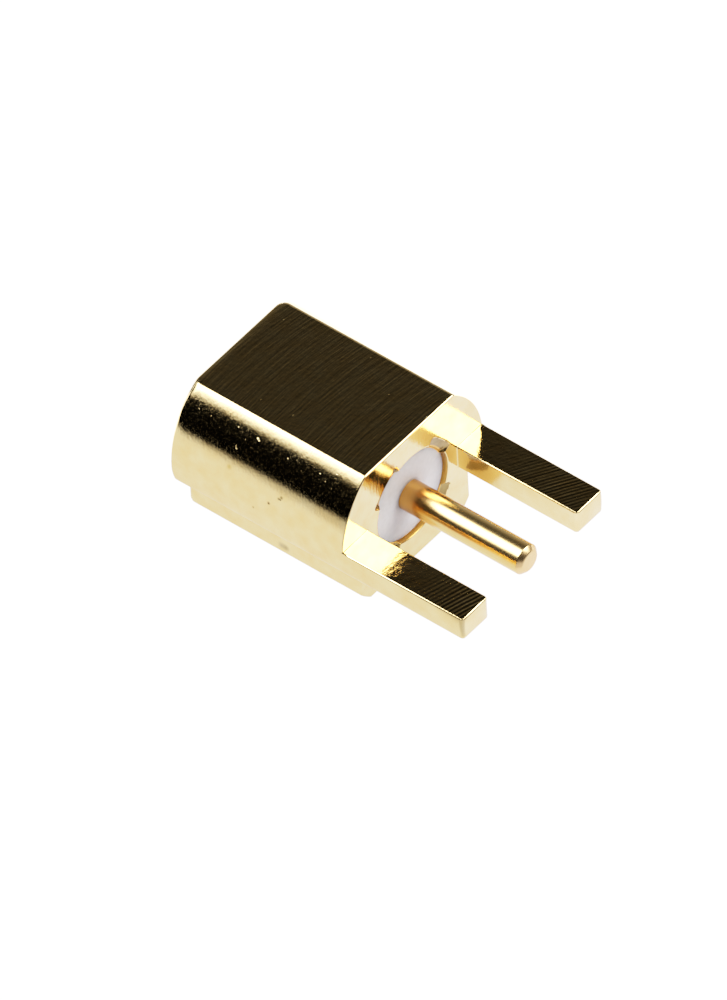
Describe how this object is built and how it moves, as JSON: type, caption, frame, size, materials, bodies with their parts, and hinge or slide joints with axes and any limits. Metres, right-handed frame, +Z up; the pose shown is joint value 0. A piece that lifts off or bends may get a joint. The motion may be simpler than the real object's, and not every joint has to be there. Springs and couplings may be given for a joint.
{
  "type": "mmcx edge-mount jack connector",
  "caption": "Small gold-plated coaxial jack for a board edge: round-sided body with a top flat and a keel, ground legs, white insulator and a centre solder pin.",
  "frame": {"origin": "on the axis of the centre contact, in the plane of the body's rear face that meets the board's edge", "axes": "+X along the contact axis towards the solder pin and legs, +Z up through the top flat, +Y to the left leg as seen from the mating end"},
  "size_m": [0.0084, 0.005, 0.0039],
  "materials": {
    "plated_body": "bright gold plating over turned and milled brass",
    "insulator": "white fluoropolymer, turned, slightly translucent",
    "plated_contact": "bright gold plating over turned brass"
  },
  "bodies": {
    "root": {"body": "plated_body", "insulator": "insulator", "centre_contact": "plated_contact"}
  },
  "joints": []
}
